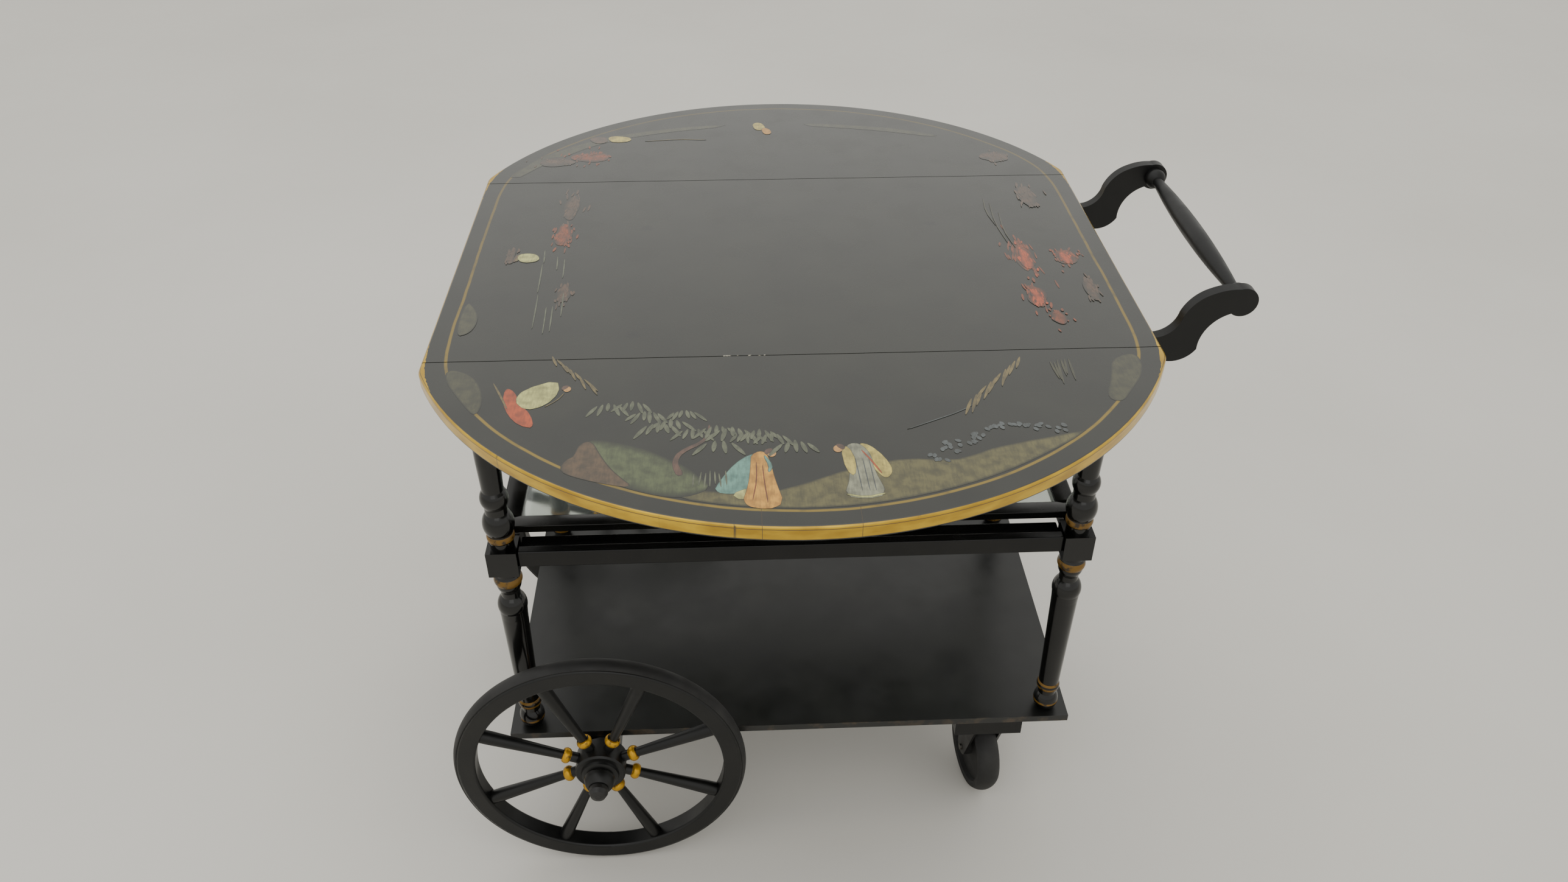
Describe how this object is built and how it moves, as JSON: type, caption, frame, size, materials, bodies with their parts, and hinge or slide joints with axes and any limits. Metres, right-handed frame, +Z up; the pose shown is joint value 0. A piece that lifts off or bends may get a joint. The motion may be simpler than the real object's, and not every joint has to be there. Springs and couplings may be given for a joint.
{
  "type": "drop-leaf tea cart",
  "caption": "Black lacquered wooden tea cart with hinged drop leaves, painted top, glass tray, lower shelf, large spoked wheels, swivel casters and a turned push handle.",
  "frame": {"origin": "on the floor, under the middle of the cart's outline with both leaves up", "axes": "+Z up, +X towards the push handle, Y across the cart from leaf to leaf"},
  "size_m": [0.839, 0.8838, 0.746],
  "materials": {
    "lacquered_board": "gloss black lacquer, painted and gilded",
    "lacquered_shelf": "gloss black lacquer",
    "lacquered_leg": "gloss black lacquer with gilt rings",
    "lacquered_frame": "gloss black lacquer",
    "lacquered_tray": "gloss black lacquer",
    "lacquered_handle": "satin black lacquer",
    "lacquered_wheel": "satin black lacquer with gilt beads",
    "tyre_rubber": "worn black rubber",
    "caster_rubber": "moulded black rubber",
    "caster_steel": "black stoved enamel",
    "hinge_brass": "aged brass",
    "stay_steel": "dull steel",
    "screw_steel": "dull steel",
    "axle_steel": "dark steel",
    "tray_glass": "clear float glass"
  },
  "bodies": {
    "cart": {"apron_back": "lacquered_frame", "apron_front": "lacquered_frame", "apron_left": "lacquered_frame", "apron_right": "lacquered_frame", "axle_bearer": "lacquered_frame", "axle_nuts": "axle_steel", "axle_washers": "axle_steel", "caster_back_plate": "caster_steel", "caster_bearer": "lacquered_frame", "caster_front_plate": "caster_steel", "caster_screws": "screw_steel", "fitting_screws": "screw_steel", "frame_screws": "screw_steel", "handle_arm_back": "lacquered_handle", "handle_arm_front": "lacquered_handle", "handle_bar": "lacquered_handle", "hinge_pins": "hinge_brass", "hinge_plates": "hinge_brass", "leg_back_left": "lacquered_leg", "leg_back_right": "lacquered_leg", "leg_front_left": "lacquered_leg", "leg_front_right": "lacquered_leg", "lower_shelf": "lacquered_shelf", "rail_back": "lacquered_frame", "rail_front": "lacquered_frame", "rail_left": "lacquered_frame", "rail_right": "lacquered_frame", "stay_brackets": "stay_steel", "top_panel": "lacquered_board", "wheel_axle": "axle_steel"},
    "leaf_front": {"leaf_front": "lacquered_board", "leaf_front_screws": "screw_steel", "hinge_wings_front": "hinge_brass", "stay_lugs_front": "stay_steel"},
    "stay_lower_front": {"stay_lower_arms_front": "stay_steel"},
    "stay_upper_front": {"stay_upper_arms_front": "stay_steel"},
    "wheel_front": {"wheel_front_rim": "lacquered_wheel", "wheel_front_tyre": "tyre_rubber", "wheel_front_spokes": "lacquered_wheel", "wheel_front_hub": "lacquered_wheel"},
    "caster_front": {"caster_front_fork": "caster_steel", "caster_front_pin": "caster_steel"},
    "caster_wheel_front": {"caster_front_wheel": "caster_rubber"},
    "leaf_back": {"leaf_back": "lacquered_board", "leaf_back_screws": "screw_steel", "hinge_wings_back": "hinge_brass", "stay_lugs_back": "stay_steel"},
    "stay_lower_back": {"stay_lower_arms_back": "stay_steel"},
    "stay_upper_back": {"stay_upper_arms_back": "stay_steel"},
    "wheel_back": {"wheel_back_rim": "lacquered_wheel", "wheel_back_tyre": "tyre_rubber", "wheel_back_spokes": "lacquered_wheel", "wheel_back_hub": "lacquered_wheel"},
    "caster_back": {"caster_back_fork": "caster_steel", "caster_back_pin": "caster_steel"},
    "caster_wheel_back": {"caster_back_wheel": "caster_rubber"},
    "tray": {"tray_front": "lacquered_tray", "tray_back": "lacquered_tray", "tray_ends": "lacquered_tray", "tray_glass": "tray_glass"}
  },
  "joints": [
    {"name": "leaf_front_fold", "type": "hinge", "parent": "cart", "child": "leaf_front", "pos_m": [-0.0265, -0.1955, 0.6905], "axis": [1, 0, 0], "range_deg": [0, 90]},
    {"name": "stay_lower_front_turn", "type": "hinge", "parent": "cart", "child": "stay_lower_front", "pos_m": [-0.0265, -0.1495, 0.6385], "axis": [1, 0, 0], "range_deg": [0, 97.5]},
    {"name": "stay_upper_front_turn", "type": "hinge", "parent": "leaf_front", "child": "stay_upper_front", "pos_m": [-0.0265, -0.3155, 0.681], "axis": [-1, 0, 0], "range_deg": [0, 107.3]},
    {"name": "leaf_back_fold", "type": "hinge", "parent": "cart", "child": "leaf_back", "pos_m": [-0.0265, 0.1955, 0.6905], "axis": [-1, 0, 0], "range_deg": [0, 90]},
    {"name": "stay_lower_back_turn", "type": "hinge", "parent": "cart", "child": "stay_lower_back", "pos_m": [-0.0265, 0.1495, 0.6385], "axis": [-1, 0, 0], "range_deg": [0, 97.5]},
    {"name": "stay_upper_back_turn", "type": "hinge", "parent": "leaf_back", "child": "stay_upper_back", "pos_m": [-0.0265, 0.3155, 0.681], "axis": [1, 0, 0], "range_deg": [0, 107.3]},
    {"name": "tray_slide", "type": "slide", "parent": "cart", "child": "tray", "axis": [-1, 0, 0], "range_m": [0, 0.62]},
    {"name": "wheel_front_spin", "type": "hinge", "parent": "cart", "child": "wheel_front", "pos_m": [-0.2505, -0.2175, 0.169], "axis": [0, 1, 0], "continuous": true},
    {"name": "wheel_back_spin", "type": "hinge", "parent": "cart", "child": "wheel_back", "pos_m": [-0.2505, 0.2175, 0.169], "axis": [0, 1, 0], "continuous": true},
    {"name": "caster_front_swivel", "type": "hinge", "parent": "cart", "child": "caster_front", "pos_m": [0.2215, -0.143, 0.15], "axis": [0, 0, 1], "continuous": true},
    {"name": "caster_front_roll", "type": "hinge", "parent": "caster_front", "child": "caster_wheel_front", "pos_m": [0.21743, -0.11732, 0.058], "axis": [0.9877, 0.1564, 0], "continuous": true},
    {"name": "caster_back_swivel", "type": "hinge", "parent": "cart", "child": "caster_back", "pos_m": [0.2215, 0.143, 0.15], "axis": [0, 0, 1], "continuous": true},
    {"name": "caster_back_roll", "type": "hinge", "parent": "caster_back", "child": "caster_wheel_back", "pos_m": [0.21743, 0.11732, 0.058], "axis": [0.9877, -0.1564, 0], "continuous": true}
  ],
  "couplings": [
    {"joint": "stay_lower_front_turn", "follows": "leaf_front_fold", "ratio": 1.0833},
    {"joint": "stay_upper_front_turn", "follows": "leaf_front_fold", "ratio": 1.1922},
    {"joint": "stay_lower_back_turn", "follows": "leaf_back_fold", "ratio": 1.0833},
    {"joint": "stay_upper_back_turn", "follows": "leaf_back_fold", "ratio": 1.1922}
  ]
}
